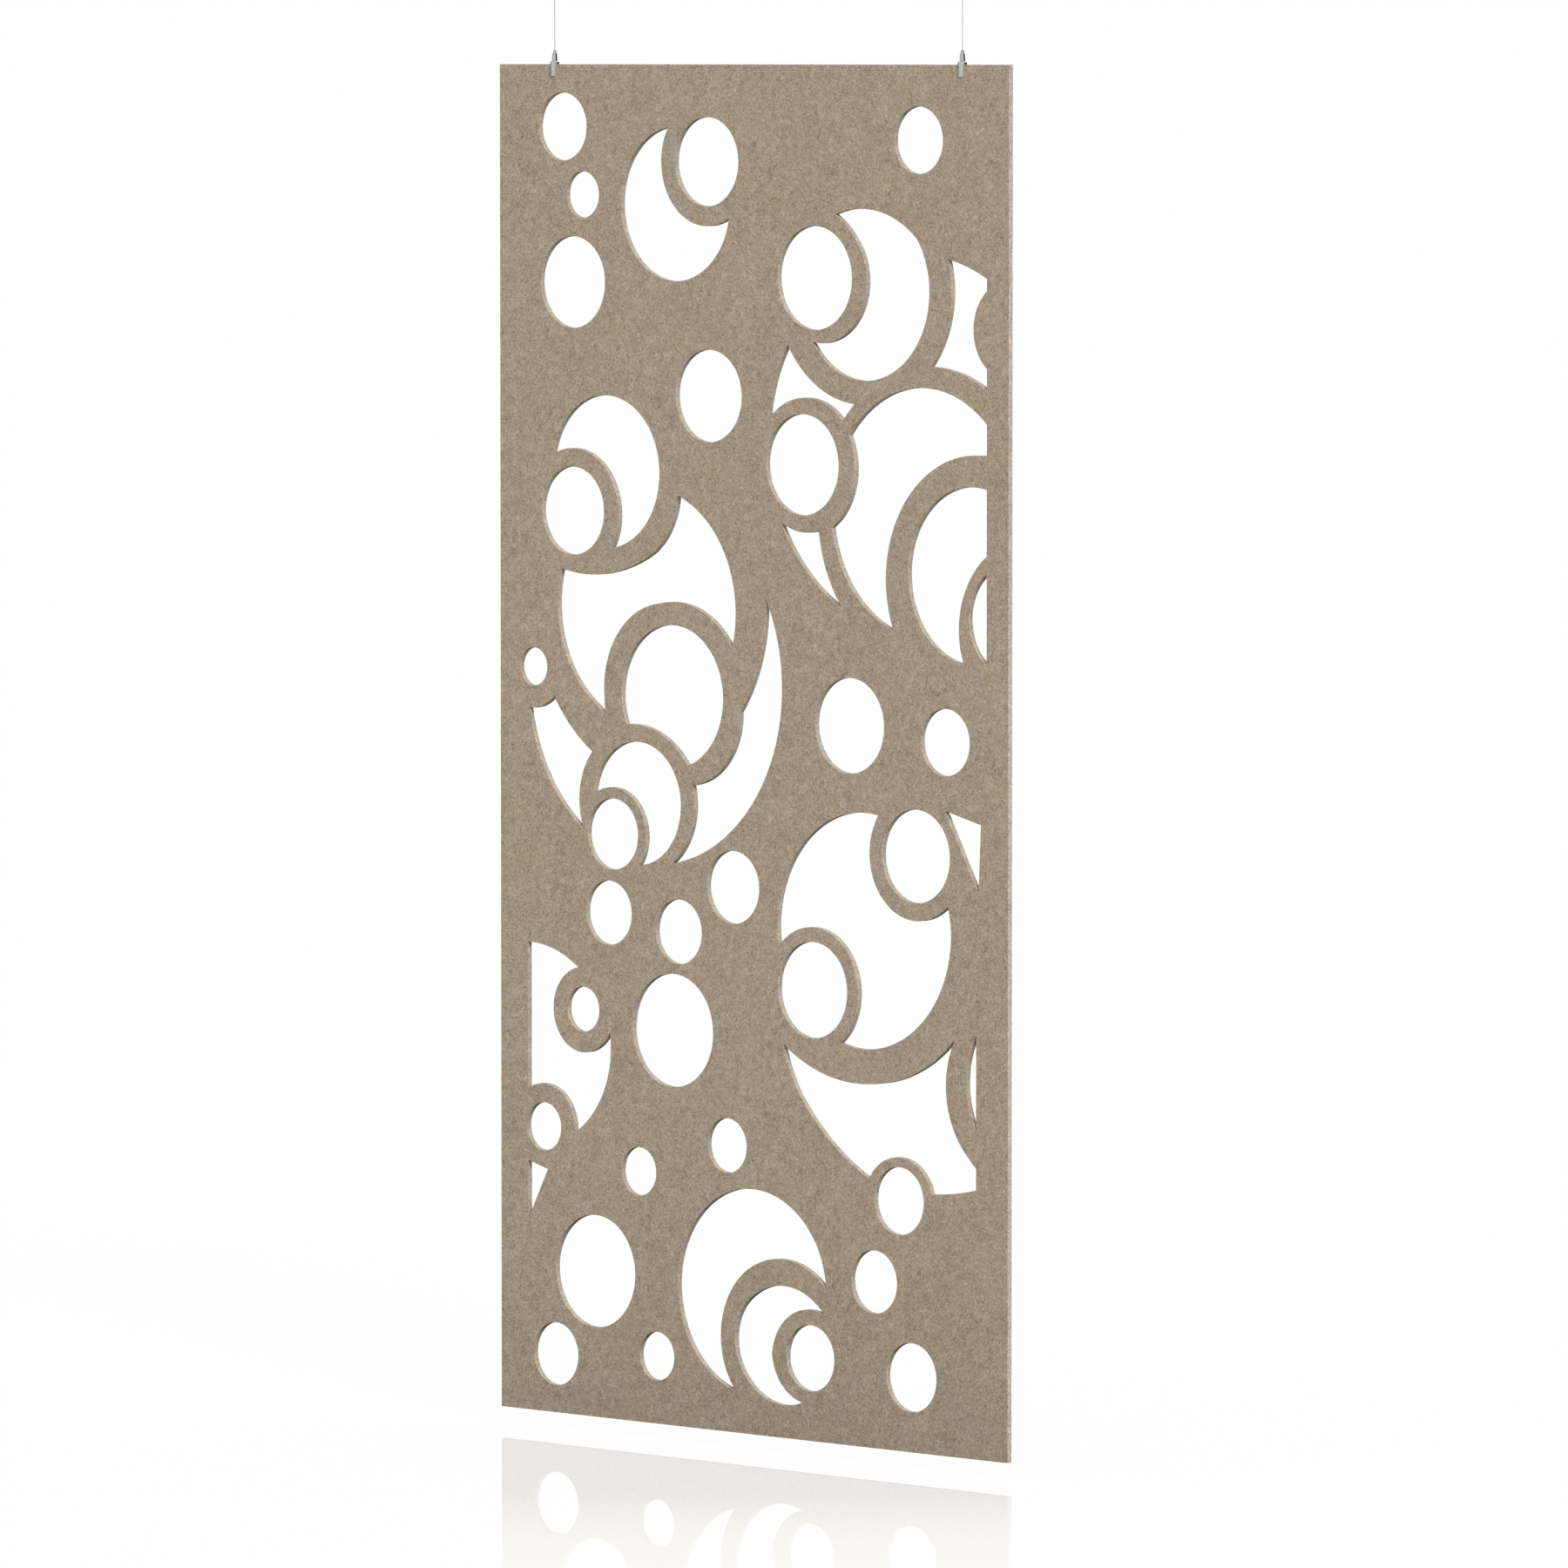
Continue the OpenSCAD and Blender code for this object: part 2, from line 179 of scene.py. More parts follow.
# Handled metal: smudges change the gloss, and fine scratches change the colour and the height.
handled_metal, add, given, made = new_group(
    "handled_metal",
    [("Vector", "Vector", None), ("Smudge Scale", "Float", 120.0), ("Scratch Scale", "Float", 900.0),
     ("Gloss", "Float", 0.1), ("Dull", "Float", 0.25),
     ("Light", "Color", (0.6, 0.6, 0.6, 1)), ("Dark", "Color", (0.5, 0.5, 0.5, 1))],
    [("Colour", "Color"), ("Roughness", "Float"), ("Height", "Float")])
smudge = add("ShaderNodeTexNoise", {
    "Vector": given.outputs["Vector"], "Scale": given.outputs["Smudge Scale"],
    "Detail": 4.0, "Roughness": 0.6})
gloss = add("ShaderNodeMapRange", {
    "Value": smudge.outputs["Fac"], "From Min": 0.35, "From Max": 0.7,
    "To Min": given.outputs["Gloss"], "To Max": given.outputs["Dull"]})
scratch = add("ShaderNodeTexNoise", {
    "Vector": given.outputs["Vector"], "Scale": given.outputs["Scratch Scale"],
    "Detail": 6.0, "Roughness": 0.7, "Distortion": 2.0})
tint = mixed(add, scratch.outputs["Fac"], given.outputs["Dark"], given.outputs["Light"])
handled_metal.links.new(tint, made.inputs["Colour"])
handled_metal.links.new(gloss.outputs["Result"], made.inputs["Roughness"])
handled_metal.links.new(scratch.outputs["Fac"], made.inputs["Height"])


def metal_finish(name, light, dark, gloss, dull, smudge_scale, scratch_scale, height):
    """A metal whose colour, gloss and fine relief come from the handled_metal group. Its height is
    that of the relief, in metres."""
    material, tree, shader, add = new_material(name, Metallic=1.0)
    where = add("ShaderNodeTexCoord").outputs["Object"]
    look = add("ShaderNodeGroup", node_tree=handled_metal)
    tree.links.new(where, look.inputs["Vector"])
    for label, value in (("Smudge Scale", smudge_scale), ("Scratch Scale", scratch_scale),
                         ("Gloss", gloss), ("Dull", dull), ("Light", (*light, 1)),
                         ("Dark", (*dark, 1))):
        look.inputs[label].default_value = value
    relief = add("ShaderNodeBump", {
        "Height": look.outputs["Height"], "Strength": 0.3, "Distance": height})
    tree.links.new(look.outputs["Colour"], shader.inputs["Base Color"])
    tree.links.new(look.outputs["Roughness"], shader.inputs["Roughness"])
    tree.links.new(relief.outputs["Normal"], shader.inputs["Normal"])
    return material


rope_steel = metal_finish("rope_steel", light=(0.70, 0.70, 0.70), dark=(0.55, 0.55, 0.55), gloss=0.25,
                          dull=0.4, smudge_scale=150, scratch_scale=1500, height=0.00003)


def rope_points(x):
    """The outside of strands that touch each other: at an angle a from the nearest strand's middle
    the radius is R cos a + sqrt(r r - (R sin a)^2), and the whole turns once in each lay length."""
    around = turns(strand_sides * strand_count)
    sector = math.tau / strand_count
    a = (around + sector / 2) % sector - sector / 2
    bulge = np.sqrt(np.maximum(strand_r ** 2 - (strand_ring * np.sin(a)) ** 2, 0))
    radius = strand_ring * np.cos(a) + bulge
    z = rope_foot + (rope_top - rope_foot) * np.linspace(0, 1, rope_rings)[:, None]
    turn = around[None, :] + math.tau * (z - rope_foot) / lay_length
    z = np.broadcast_to(z, turn.shape)
    return np.stack([x + radius * np.cos(turn), radius * np.sin(turn), z], -1)


for side, x in hanger_x.items():
    points = rope_points(x)
    rope = new_piece(f"wire_rope_{side}", points, rod_faces(points), rope_steel,
                     "wires", sharp=60)
    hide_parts(f"suspension_wire_{side}")

# -------------------------------------------------------------------------- the ceiling fittings
# A turned and chromed base is screwed to the ceiling. A chromed cap screws up over it, and the
# ball swaged onto the wire's top end turns in the round seat in the cap's floor.
cap_ring = [(8.02, -12), (3.05, -12), (3.05, -19), (2.86, -20.06), (2.47, -20.79), (1.9, -21.39),
            (3.48, -26), (12, -26), (12, -2.5), (8.02, -2.5)]
base_ring = [(2.2, -2.2), (4.5, -4.5), (4.5, -12), (8, -12), (8, -2.5), (12, -2.5), (12, 0), (2.2, 0)]
fitting_ease, arc_points, past_arc = 0.5, 5, 1.25
chrome = metal_finish("chrome", light=(0.51, 0.515, 0.52), dark=(0.47, 0.47, 0.475), gloss=0.05,
                      dull=0.13, smudge_scale=60, scratch_scale=2500, height=0.000004)
stop_steel = metal_finish("stop_steel", light=(0.55, 0.55, 0.55), dark=(0.42, 0.42, 0.42), gloss=0.2,
                          dull=0.35, smudge_scale=200, scratch_scale=1500, height=0.00001)


def eased(corners, radius, closed=True):
    """A profile whose corners are each swapped for a short parabola between points that lie the
    given distance along both sides, but never more than a third of a side. Two more points just
    outside each parabola keep the flats flat. An open profile keeps its two end points."""
    p = np.asarray(corners, float)
    if not closed:
        inner = eased(p, radius)[arc_points + 2:-arc_points - 2]
        return np.concatenate([p[:1], inner, p[-1:]])
    back, on = np.roll(p, 1, 0) - p, np.roll(p, -1, 0) - p
    reach = np.broadcast_to(np.asarray(radius, float), len(p))
    steps = []
    for away in (back, on):
        length = np.linalg.norm(away, axis=1)
        steps.append(away / length[:, None] * np.minimum(reach, length / 3)[:, None])
    t = np.linspace(0, 1, arc_points)[None, :, None]
    start, end = p + steps[0], p + steps[1]
    arc = (1 - t) ** 2 * start[:, None] + 2 * t * (1 - t) * p[:, None] + t ** 2 * end[:, None]
    before, after = p + past_arc * steps[0], p + past_arc * steps[1]
    return np.concatenate([before[:, None], arc, after[:, None]], 1).reshape(-1, 2)


def turned(profile, x, sides=96):
    """A profile of [radius, height] carried once round the vertical axis through x: the points are
    (x + r cos a, r sin a, z)."""
    a = turns(sides)
    r, z = np.asarray(profile, float).T[:, :, None]
    return np.stack([x + r * np.cos(a), r * np.sin(a), np.broadcast_to(z, (len(z), sides))], -1)


def refinish(node, material):
    """Gives a CAD node that keeps its own shape a better material."""
    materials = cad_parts[node].data.materials
    materials.clear()
    materials.append(material)


for side, x in hanger_x.items():
    for name, ring, node in (("chromed_cap", cap_ring, "ceiling_cap"),
                             ("chromed_base", base_ring, "ceiling_base")):
        points = turned(eased(ring, fitting_ease), x)
        fitting = new_piece(f"{name}_{side}", points, ring_faces(points), chrome,
                            "ceiling_fittings")
        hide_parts(f"{node}_{side}")
    refinish(f"wire_stop_{side}", stop_steel)

# --------------------------------------------------------------------------------- the grippers
# A turned barrel screws down onto the clamp's stud. Inside, a spring pushes a nozzle with three
# balls up into a cone, and the balls wedge on the wire. Pressing the nozzle lets the wire go.
barrel_ring = [(3.02, -144.7), (4.8, -144.7), (4.8, -139.87), (4.1, -130.7), (3.6, -130.2),
               (2.75, -130.2), (2.75, -133), (3.24, -137.9), (3.24, -141.5), (3.02, -141.5)]
barrel_eases = [0.2, 0.9] + 8 * [0.2]
nozzle_ring = [(0.9, -137.4), (3, -137.4), (3, -136.6), (2.7, -136.6), (2.7, -125.3), (2.3, -124.9),
               (1.3, -124.9), (0.9, -125.3)]
nozzle_ease, nozzle_sides = 0.2, 70  # with these sides no edge of a window meets one of the nozzle
window_r, window_z, window_reach, window_turns, hole_sides = 1.12, -135, 4, (30, 150, 270), 32
spring_r, spring_wire, spring_turns, spring_foot, spring_head = 2.65, 0.5, 4, -141.7, -137.4
spring_gap, flat_turns, flat_rise, rings_per_turn, wire_sides = 0.03, 0.5, 0.06, 40, 12
ball_steel = metal_finish("ball_steel", light=(0.58, 0.58, 0.58), dark=(0.50, 0.50, 0.50), gloss=0.05,
                          dull=0.15, smudge_scale=300, scratch_scale=3000, height=0.000002)
coil_steel = metal_finish("coil_steel", light=(0.40, 0.40, 0.40), dark=(0.28, 0.28, 0.28), gloss=0.25,
                          dull=0.45, smudge_scale=300, scratch_scale=2500, height=0.000006)


def bar(start, end, radius, sides):
    """A straight bar between two points: its cross-section is a regular polygon, or one stretched to
    two radii, turned so that a four-sided bar lying down has level faces."""
    start, end = np.asarray(start, float), np.asarray(end, float)
    along = (end - start) / np.linalg.norm(end - start)
    across = np.cross(along, (0, 0, 1) if abs(along[2]) < 0.9 else (1, 0, 0))
    across /= np.linalg.norm(across)
    a = turns(sides, 0.5)[:, None]
    wide, high = np.broadcast_to(radius, 2)
    ring = wide * np.cos(a) * across + high * np.sin(a) * np.cross(along, across)
    points = np.stack([start + ring, end + ring])
    return points, rod_faces(points)


def cut_away(piece, bars):
    """Takes bars out of a piece with exact cuts, and keeps the result as its mesh."""
    tools = []
    for points, faces in bars:
        tools.append(placed("tool", new_mesh("tool", points, faces)))
        cut = piece.modifiers.new("cut", "BOOLEAN")
        cut.operation, cut.solver, cut.object = "DIFFERENCE", "EXACT", tools[-1]
    bpy.context.view_layer.update()
    finished = piece.evaluated_get(bpy.context.evaluated_depsgraph_get())
    piece.data = bpy.data.meshes.new_from_object(finished)
    piece.modifiers.clear()
    for tool in tools:
        bpy.data.objects.remove(tool)
    smooth(piece.data, sharp=30)


def window_bars(x):
    """The bars that cut a nozzle's windows, from its axis out through its wall."""
    bars = []
    for turn in window_turns:
        a = math.radians(turn)
        outside = (x + window_reach * math.cos(a), window_reach * math.sin(a), window_z)
        bars.append(bar((x, 0, window_z), outside, window_r, hole_sides))
    return bars


def spring_points(x):
    """A tube round a helix: the middle climbs evenly while it turns at a fixed radius, and slower
    over the first and last half turn, so that the ends lie flat."""
    t, around = np.linspace(0, 1, rings_per_turn * spring_turns), turns(wire_sides)[None, :]
    flat = flat_turns / spring_turns
    rise = np.interp(t, [0, flat, 1 - flat, 1], [0, flat_rise, 1 - flat_rise, 1])
    turn = (math.tau * spring_turns * t)[:, None]
    low, high = spring_foot + spring_wire / 2 + spring_gap, spring_head - spring_wire / 2 - spring_gap
    r = spring_r + spring_wire / 2 * np.cos(around)
    z = (low + (high - low) * rise)[:, None] - spring_wire / 2 * np.sin(around)
    return np.stack([x + r * np.cos(turn), r * np.sin(turn), z], -1)


for side, x in hanger_x.items():
    points = turned(eased(barrel_ring, barrel_eases), x)
    barrel = new_piece(f"turned_barrel_{side}", points, ring_faces(points), chrome,
                       "board")
    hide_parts(f"gripper_barrel_{side}")

    points = turned(eased(nozzle_ring, nozzle_ease), x, nozzle_sides)
    nozzle = new_piece(f"press_nozzle_{side}", points, ring_faces(points), chrome,
                       f"nozzle_{side}")
    cut_away(nozzle, window_bars(x))
    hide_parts(f"release_nozzle_{side}")

    points = spring_points(x)
    spring = new_piece(f"coil_spring_{side}", points, rod_faces(points), coil_steel,
                       "board", sharp=60)
    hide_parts(f"gripper_spring_{side}")
    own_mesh(spring)

    refinish(f"grip_balls_{side}", ball_steel)

# ------------------------------------------------------------------------------ the edge clamps
# Each clamp is a chromed round bar, slotted from below, that sits over the board's top edge. A
# headless screw through its front leg presses on the felt.
clamp_profile = [(6.5, -170.7), (8, -170.7), (8, -145.9), (6.8, -144.7), (3, -144.7), (3, -141.7),
                 (2, -141.7)]
clamp_ease, slot_half, slot_roof, slot_deep, slot_past = 0.25, 5.2, -150, 30, 10
wire_hole_r, wire_hole_floor, wire_hole_top = 1, -149, -139
screw_z, screw_r, screw_tip, screw_end = -162, 2, -5, -9.2
screw_hole_r, screw_hole_back, screw_hole_front = 2.02, -4, -10
thread_pitch, thread_depth, thread_bare, thread_run_out = 0.7, 0.3, 0.15, 0.3
thread_rings, screw_sides, socket_r, socket_depth = 90, 48, 1.155, 1.8
socket_steel = metal_finish("socket_steel", light=(0.56, 0.56, 0.57), dark=(0.43, 0.43, 0.44), gloss=0.2,
                            dull=0.35, smudge_scale=250, scratch_scale=2500, height=0.000006)


def screw_points(x):
    """A thread: the radius falls and rises evenly once in each pitch, and the groove climbs one
    pitch in each turn. It dies out towards both ends, which are narrower."""
    along, around = np.linspace(0, 1, thread_rings)[:, None], turns(screw_sides)[None, :]
    length = screw_tip - screw_end
    phase = along * length / thread_pitch - around / math.tau
    groove = 1 - np.abs(2 * (phase - np.floor(phase)) - 1)
    from_end = np.minimum(along, 1 - along) * length
    shown = np.clip((from_end - thread_bare) / thread_run_out, 0, 1)
    r = screw_r - thread_depth * (1 - shown) - thread_depth * groove * shown
    y = np.broadcast_to(screw_tip - along * length, r.shape)
    return np.stack([x + r * np.cos(around), y, screw_z + r * np.sin(around)], -1)


def clamp_bars(x):
    """The bars that cut a clamp's slot, its hole for the wire and its hole for the screw."""
    middle, root2 = slot_roof - slot_deep / 2, math.sqrt(2)
    return [bar((x - slot_past, 0, middle), (x + slot_past, 0, middle),
                (slot_half * root2, slot_deep / 2 * root2), 4),
            bar((x, 0, wire_hole_floor), (x, 0, wire_hole_top), wire_hole_r, hole_sides),
            bar((x, screw_hole_back, screw_z), (x, screw_hole_front, screw_z), screw_hole_r, screw_sides)]


for side, x in hanger_x.items():
    points = turned(eased(clamp_profile, clamp_ease, closed=False), x)
    clamp = new_piece(f"slotted_clamp_{side}", points, rod_faces(points), chrome,
                      "board")
    cut_away(clamp, clamp_bars(x))
    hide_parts(f"panel_clamp_{side}")

    points = screw_points(x)
    screw = new_piece(f"socket_screw_{side}", points, rod_faces(points), socket_steel,
                      "board", sharp=50)
    socket_floor, outside = (x, screw_end + socket_depth, screw_z), (x, screw_end - 1, screw_z)
    cut_away(screw, [bar(socket_floor, outside, socket_r, 6)])
    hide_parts(f"clamp_screw_{side}")

# -------------------------------------------------------------------------------- the felt board
# One sheet of pressed felt, 10 mm thick, with a pattern of overlapping bubbles cut right through
# it. The fibres are matted and lie every way, in paler and darker shades of a warm grey-brown.
board_w, board_h, board_t, board_x, board_top = 1250, 2400, 10, -10, -150
edge_ease, edge_angles, chord, side_points = 0.6, (0, 35, 65, 90), 3.6, 40
left_stop, right_stop, low_right_stop = -556, 573, 549
bubbles = [
    (-465, 110, 60), (410, 130, 58), (-105, 170, 78), (-415, 230, 41), (160, 370, 90),
    (-440, 385, 81), (-100, 580, 81), (130, 695, 88), (-440, 790, 78), (-540, 1070, 34),
    (245, 1145, 83), (475, 1165, 58), (-340, 1360, 63), (405, 1365, 81), (-40, 1440, 64),
    (-350, 1500, 57), (-175, 1525, 57), (155, 1610, 84), (-190, 1700, 100), (-415, 1675, 40),
    (-515, 1890, 43), (-55, 1895, 48), (-275, 1955, 43), (365, 1965, 59), (-385, 2140, 100),
    (305, 2110, 55), (-485, 2295, 56), (150, 2255, 58), (-230, 2280, 43), (395, 2270, 60)]


class Shape:
    """A flat shape: a yes-or-no test for points, and the circles (middle, radius) and straight
    lines (point, direction, None) that bound it. Places are right of the board's middle and below
    its top edge. & keeps what two shapes share, | joins them, and - takes the second away."""

    def __init__(self, holds, lines):
        self.holds, self.lines = holds, lines

    def __and__(self, other):
        return Shape(lambda p: self.holds(p) & other.holds(p), self.lines + other.lines)

    def __or__(self, other):
        return Shape(lambda p: self.holds(p) | other.holds(p), self.lines + other.lines)

    def __sub__(self, other):
        return Shape(lambda p: self.holds(p) & ~other.holds(p), self.lines + other.lines)


def disc(x, below, r):
    """The points nearer than r to the middle."""
    middle = np.array([x, below], float)
    return Shape(lambda p: np.linalg.norm(p - middle, axis=-1) < r, [(middle, r)])


def half(point, outward):
    """The points on one side of a line through a point: those whose step from it runs against the
    outward direction."""
    point, outward = np.array(point, float), np.array(outward, float)
    outward /= np.linalg.norm(outward)
    return Shape(lambda p: (p - point) @ outward < 0, [(point, outward, None)])


def left_of(x):
    """The points less than x to the right of the board's middle."""
    return half((x, 0), (1, 0))


def right_of(x):
    """The points more than x to the right of the board's middle."""
    return half((x, 0), (-1, 0))


def above(below):
    """The points less than a distance below the board's top edge."""
    return half((0, below), (0, 1))


def under(below):
    """The points more than a distance below the board's top edge."""
    return half((0, below), (0, -1))


def corners_cut(*corners):
    """The inside of a shape with straight sides, from its corners in clockwise order: what all its
    sides' halves share."""
    shape = None
    for (ax, ay), (bx, by) in zip(corners, corners[1:] + corners[:1]):
        side = half((ax, ay), (by - ay, ax - bx))
        shape = side if shape is None else shape & side
    return shape


cut_outs = [disc(*b) for b in bubbles] + [
    # small bubbles' bands cut into two large ones
    disc(-183, 245, 135) - disc(-105, 170, 113),
    disc(-358, 719, 135) - disc(-440, 794, 115),
    # the upper right
    (disc(273, 448, 199) & disc(281, 391, 155)) - disc(177, 374, 109)
    - (disc(135, 395, 155) & above(345)),
    (disc(405, 695, 369) & left_of(right_stop) & right_of(435))
    - disc(295, 390, 194) - disc(435, 790, 271) - disc(627, 454, 86) - under(700),
    disc(350, 655, 306) - disc(275, 375, 213) - disc(138, 702, 124) - disc(433, 780, 262)
    - right_of(260) - under(660),
    (disc(420, 781, 225) & disc(420, 766, 221) & left_of(right_stop))
    - disc(135, 699, 123) - disc(551, 888, 219),
    (disc(539, 877, 153) & left_of(right_stop)) - disc(665, 970, 158),
    disc(624, 951, 93) & left_of(right_stop),
    disc(375, 640, 336) - disc(430, 777, 262) - disc(140, 687, 126) - right_of(225) - above(780),
    # the middle left
    (disc(-270, 955, 208) | disc(-250, 960, 216)) - disc(-315, 745, 138)
    - (disc(-395, 590, 312) & left_of(-255)) - disc(-208, 1101, 154) - disc(-187, 1118, 174),
    disc(-191, 1111, 126) - disc(-290, 1335, 172),
    disc(-242, 1087, 322) - disc(-270, 945, 310) - disc(-153, 1136, 130) - disc(-265, 1300, 129)
    - left_of(-300),
    disc(-240, 1090, 316) - disc(-298, 1301, 127) - disc(-220, 945, 321) - disc(-545, 1060, 84)
    - right_of(-300),
    disc(-279, 1303, 109) - disc(-342, 1362, 85),
    # the lower right
    (disc(279, 1505, 210) & disc(279, 1496, 210)) - disc(155, 1611, 111) - disc(406, 1364, 113),
    corners_cut((474, 1283), (560, 1304), (554, 1423)),
    (disc(485, 1517, 456) & disc(415, 1335, 614) & left_of(low_right_stop)
     & (disc(337, 1643, 262) | under(1813)))
    - disc(270, 1440, 327) - disc(285, 1465, 301) - disc(364, 1971, 82) - disc(642, 1758, 165)
    - above(1650) - (disc(700, 1725, 229) & under(1790)),
    disc(685, 1750, 159) & left_of(low_right_stop),
    # the lower left and the foot
    (disc(-555, 1785, 223) & right_of(left_stop) & (disc(-525, 1740, 179) | above(1650)))
    - disc(-516, 1892, 79) - disc(-415, 1676, 76),
    corners_cut((left_stop, 1953), (-506, 1966), (left_stop, 2058)),
    (disc(7, 2153, 185) & disc(6, 2147, 183)) - disc(72, 2231, 143)
    - (disc(79, 2240, 154) & right_of(-16)),
    (disc(84, 2268, 135) & disc(86, 2216, 126) & (disc(56, 2234, 91) | right_of(0) | under(2281)))
    - (disc(147, 2244, 92) & disc(148, 2263, 93))]

# How the outlines are found: the length that a straight line is walked, the part of a turn where the
# walk round a circle starts, so that no corner falls there, the step to each side, the halvings, and
# how close two points are before they are one. The filling keeps what lies inside the board's edge.
line_length, circle_start, side_step, halvings, one_point, keep_inside = 6000, 0.000123, 1e-4, 30, 1e-6, 1


def walk(line, t):
    """Points at parts t of a boundary line, and the way out of its own shape there. A circle is
    walked once round, and a straight line for three metres either way."""
    if len(line) == 2:
        a = math.tau * t
        out = np.stack([np.cos(a), np.sin(a)], -1)
        return line[0] + line[1] * out, out
    point, out = line[:2]
    ahead = np.array([-out[1], out[0]])
    return point + np.outer(line_length * (t - 0.5), ahead), np.broadcast_to(out, (len(t), 2))


def stretches(shape):
    """The arcs and straight runs that bound a shape. A line's point counts where the shape lies on
    one side only. The runs' ends are found by halving, and each is walked with the shape on its
    left."""
    runs = []
    for line in shape.lines:
        full = len(line) == 2
        length = math.tau * line[1] if full else line_length

        def lies(t):
            p, out = walk(line, t)
            outside, inside = shape.holds(p + side_step * out), shape.holds(p - side_step * out)
            return outside.astype(int) - inside.astype(int)

        t = np.linspace(0, 1, int(2 * length)) + (circle_start if full else 0)
        state = lies(t)
        change = np.flatnonzero(state[1:] != state[:-1])
        low, high, before = t[change], t[change + 1], state[change]
        for _ in range(halvings):
            middle = (low + high) / 2
            same = lies(middle) == before
            low, high = np.where(same, middle, low), np.where(same, high, middle)
        ends = (low + high) / 2
        if full:
            ends = np.append(ends, ends[0] + 1) if len(ends) else t[[0, 0]] + [0, 1]
        for a, b in zip(ends[:-1], ends[1:]):
            way = lies(np.array([(a + b) / 2]))[0]
            if way:
                steps = max(2, math.ceil(length * (b - a) / chord))
                points = walk(line, np.linspace(a, b, 1 + steps))[0]
                runs.append(points if way < 0 else points[::-1])
    return runs


def outline(shape):
    """One closed line of points round a shape: its stretches, each followed by the one that starts
    nearest to its end."""
    runs = stretches(shape)
    chain = [runs.pop(0)]
    while runs:
        near = min(range(len(runs)), key=lambda k: np.linalg.norm(runs[k][0] - chain[-1][-1]))
        chain.append(runs.pop(near))
    return np.concatenate([run[:-1] for run in chain])


def into_felt(loop):
    """For each point of an outline walked with the opening on its left, the step into the felt for
    one millimetre of inset: the mean of the two sides' outward directions, longer at a corner, and
    at most double."""
    ahead = np.roll(loop, -1, 0) - loop
    out = np.stack([ahead[:, 1], -ahead[:, 0]], -1) / np.linalg.norm(ahead, axis=1)[:, None]
    both = out + np.roll(out, 1, 0)
    size = np.linalg.norm(both, axis=1)
    return both / size[:, None] * np.minimum(2 / size, 2)[:, None]


def board_mesh():
    """The felt board. Every outline is carried through the thickness along a profile with eased
    edges, inset = e (1 - sin a), depth = e (1 - cos a), and the two faces are filled with triangles
    between the outlines, left out where a triangle's middle lies in a cut-out."""
    corners = [(-board_w / 2, 0), (-board_w / 2, board_h), (board_w / 2, board_h), (board_w / 2, 0)]
    sides = [np.linspace(a, b, side_points, endpoint=False)
             for a, b in zip(corners, corners[1:] + corners[:1])]
    loops = [np.concatenate(sides)] + [outline(shape) for shape in cut_outs]
    flat, step = np.concatenate(loops), np.concatenate([into_felt(loop) for loop in loops])
    a = np.radians(edge_angles)
    inset = np.concatenate([edge_ease * (1 - np.sin(a)), edge_ease * (1 - np.sin(a[::-1]))])
    depth = np.concatenate([edge_ease * (1 - np.cos(a)), board_t - edge_ease * (1 - np.cos(a[::-1]))])
    spread = flat[None] + inset[:, None, None] * step[None]
    y = np.broadcast_to((depth - board_t / 2)[:, None], spread.shape[:2])
    points = np.stack([board_x + spread[..., 0], y, board_top - spread[..., 1]], -1)
    counts = [len(loop) for loop in loops]
    walls, edges = [], []
    for first, count in zip(np.cumsum([0] + counts).tolist(), counts):
        quads = np.array(grid_faces(len(inset), count))[:, ::-1]
        walls.append(quads // count * len(flat) + first + quads % count)
        edges += [(first + k, first + (k + 1) % count) for k in range(count)]
    rim = list(range(counts[0]))
    filled = geometry.delaunay_2d_cdt(flat.tolist(), edges, [rim], keep_inside, one_point)
    triangles = np.array([same[0] for same in filled[3]])[np.array(filled[2])]
    middles = flat[triangles].mean(1)
    front = triangles[~np.any([shape.holds(middles) for shape in cut_outs], axis=0)]
    back = front + (len(inset) - 1) * len(flat)
    return points, np.concatenate(walls).tolist(), front[:, ::-1].tolist() + back.tolist()


# Matted fibres: three layers of noise, each drawn out along its own direction, under coarser and
# coarser clumps. One value mixes the dark shade with the light one, and another the warm tint.
matted_fibres, add, given, made = new_group(
    "matted_fibres",
    [("Vector", "Vector", None), ("Fibre Scale", "Float", 1000.0), ("Light", "Color", (0.5, 0.4, 0.3, 1)),
     ("Dark", "Color", (0.2, 0.17, 0.12, 1)), ("Tint", "Color", (1, 1, 1, 1))],
    [("Colour", "Color"), ("Height", "Float")])
fibre_ways, fibre_draw, fibre_bend = (0.2, 1.3, -0.9), (0.15, 1.0, 1.0), (0.008, 0.008, 0.008)


def noise(vector, scale, detail):
    """The value of a noise texture, less its mean of a half."""
    texture = add("ShaderNodeTexNoise", {"Vector": vector, "Scale": scale, "Detail": detail})
    return maths(add, "SUBTRACT", texture.outputs["Fac"], 0.5)


def weighed(*terms):
    """The sum of values, each times its own weight."""
    total = 0.0
    for value, weight in terms:
        total = maths(add, "MULTIPLY_ADD", value, weight, total)
    return total


